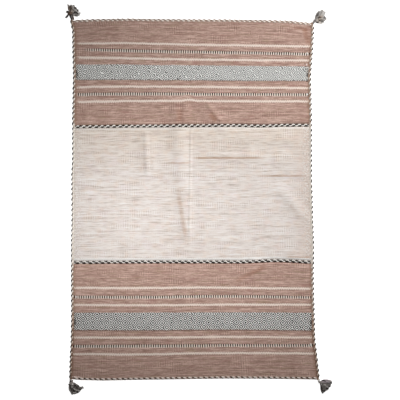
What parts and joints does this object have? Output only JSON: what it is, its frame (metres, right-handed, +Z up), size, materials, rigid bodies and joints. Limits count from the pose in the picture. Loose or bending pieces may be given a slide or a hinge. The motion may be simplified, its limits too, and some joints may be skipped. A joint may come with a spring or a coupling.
{
  "type": "kilim rug",
  "caption": "Flat-woven striped kilim rug with a corded edge all round, thick twined rows across it and a yarn tassel at each corner, lying flat on the floor.",
  "frame": {"origin": "on the floor, under the middle of the rug's whole outline with its corner tassels", "axes": "+Z up out of the rug's face, +Y along the rug's length towards its upper end in the picture, +X to the right"},
  "size_m": [1.3384, 1.9601, 0.018],
  "materials": {
    "weft": "slubby cotton weft over ribs, banded brown, ecru and grey, with dashed and small diamond rows",
    "twist": "one near-black and one ecru yarn twined together, matt and a little hairy",
    "edging": "two-ply cord of dark and ecru yarn, matt",
    "tassel_yarn": "loose dark grey, mid grey and beige yarn, matt and frayed at the tips"
  },
  "bodies": {
    "root": {"rug_cloth": "weft", "twined_row_upper": "twist", "twined_row_lower": "twist", "side_cord_left": "edging", "side_cord_right": "edging", "end_cord_top": "edging", "end_cord_bottom": "edging", "tassel_top_left": "tassel_yarn", "tassel_top_right": "tassel_yarn", "tassel_bottom_left": "tassel_yarn", "tassel_bottom_right": "tassel_yarn"}
  },
  "joints": []
}
